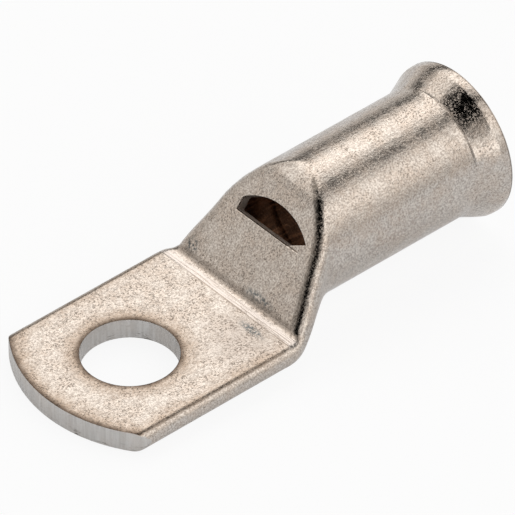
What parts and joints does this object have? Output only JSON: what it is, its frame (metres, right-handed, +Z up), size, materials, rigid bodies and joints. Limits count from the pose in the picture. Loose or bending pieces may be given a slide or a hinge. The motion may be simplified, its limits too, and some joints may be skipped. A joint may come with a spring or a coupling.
{
  "type": "cable lug",
  "caption": "Tubular tin-plated copper cable lug: flat palm with a stud hole, pressed slope with a sight window, round barrel with a bell mouth for a crimped cable.",
  "frame": {"origin": "centre of the stud hole on the underside of the palm", "axes": "+X along the barrel from the stud hole towards the bell mouth, +Z up out of the palm on the side of the slope, +Y across the palm"},
  "size_m": [0.0569, 0.022, 0.0176],
  "materials": {
    "tin_plated_copper": "satin tin plate over copper, lightly mottled"
  },
  "bodies": {
    "root": {"cable_lug": "tin_plated_copper"}
  },
  "joints": []
}
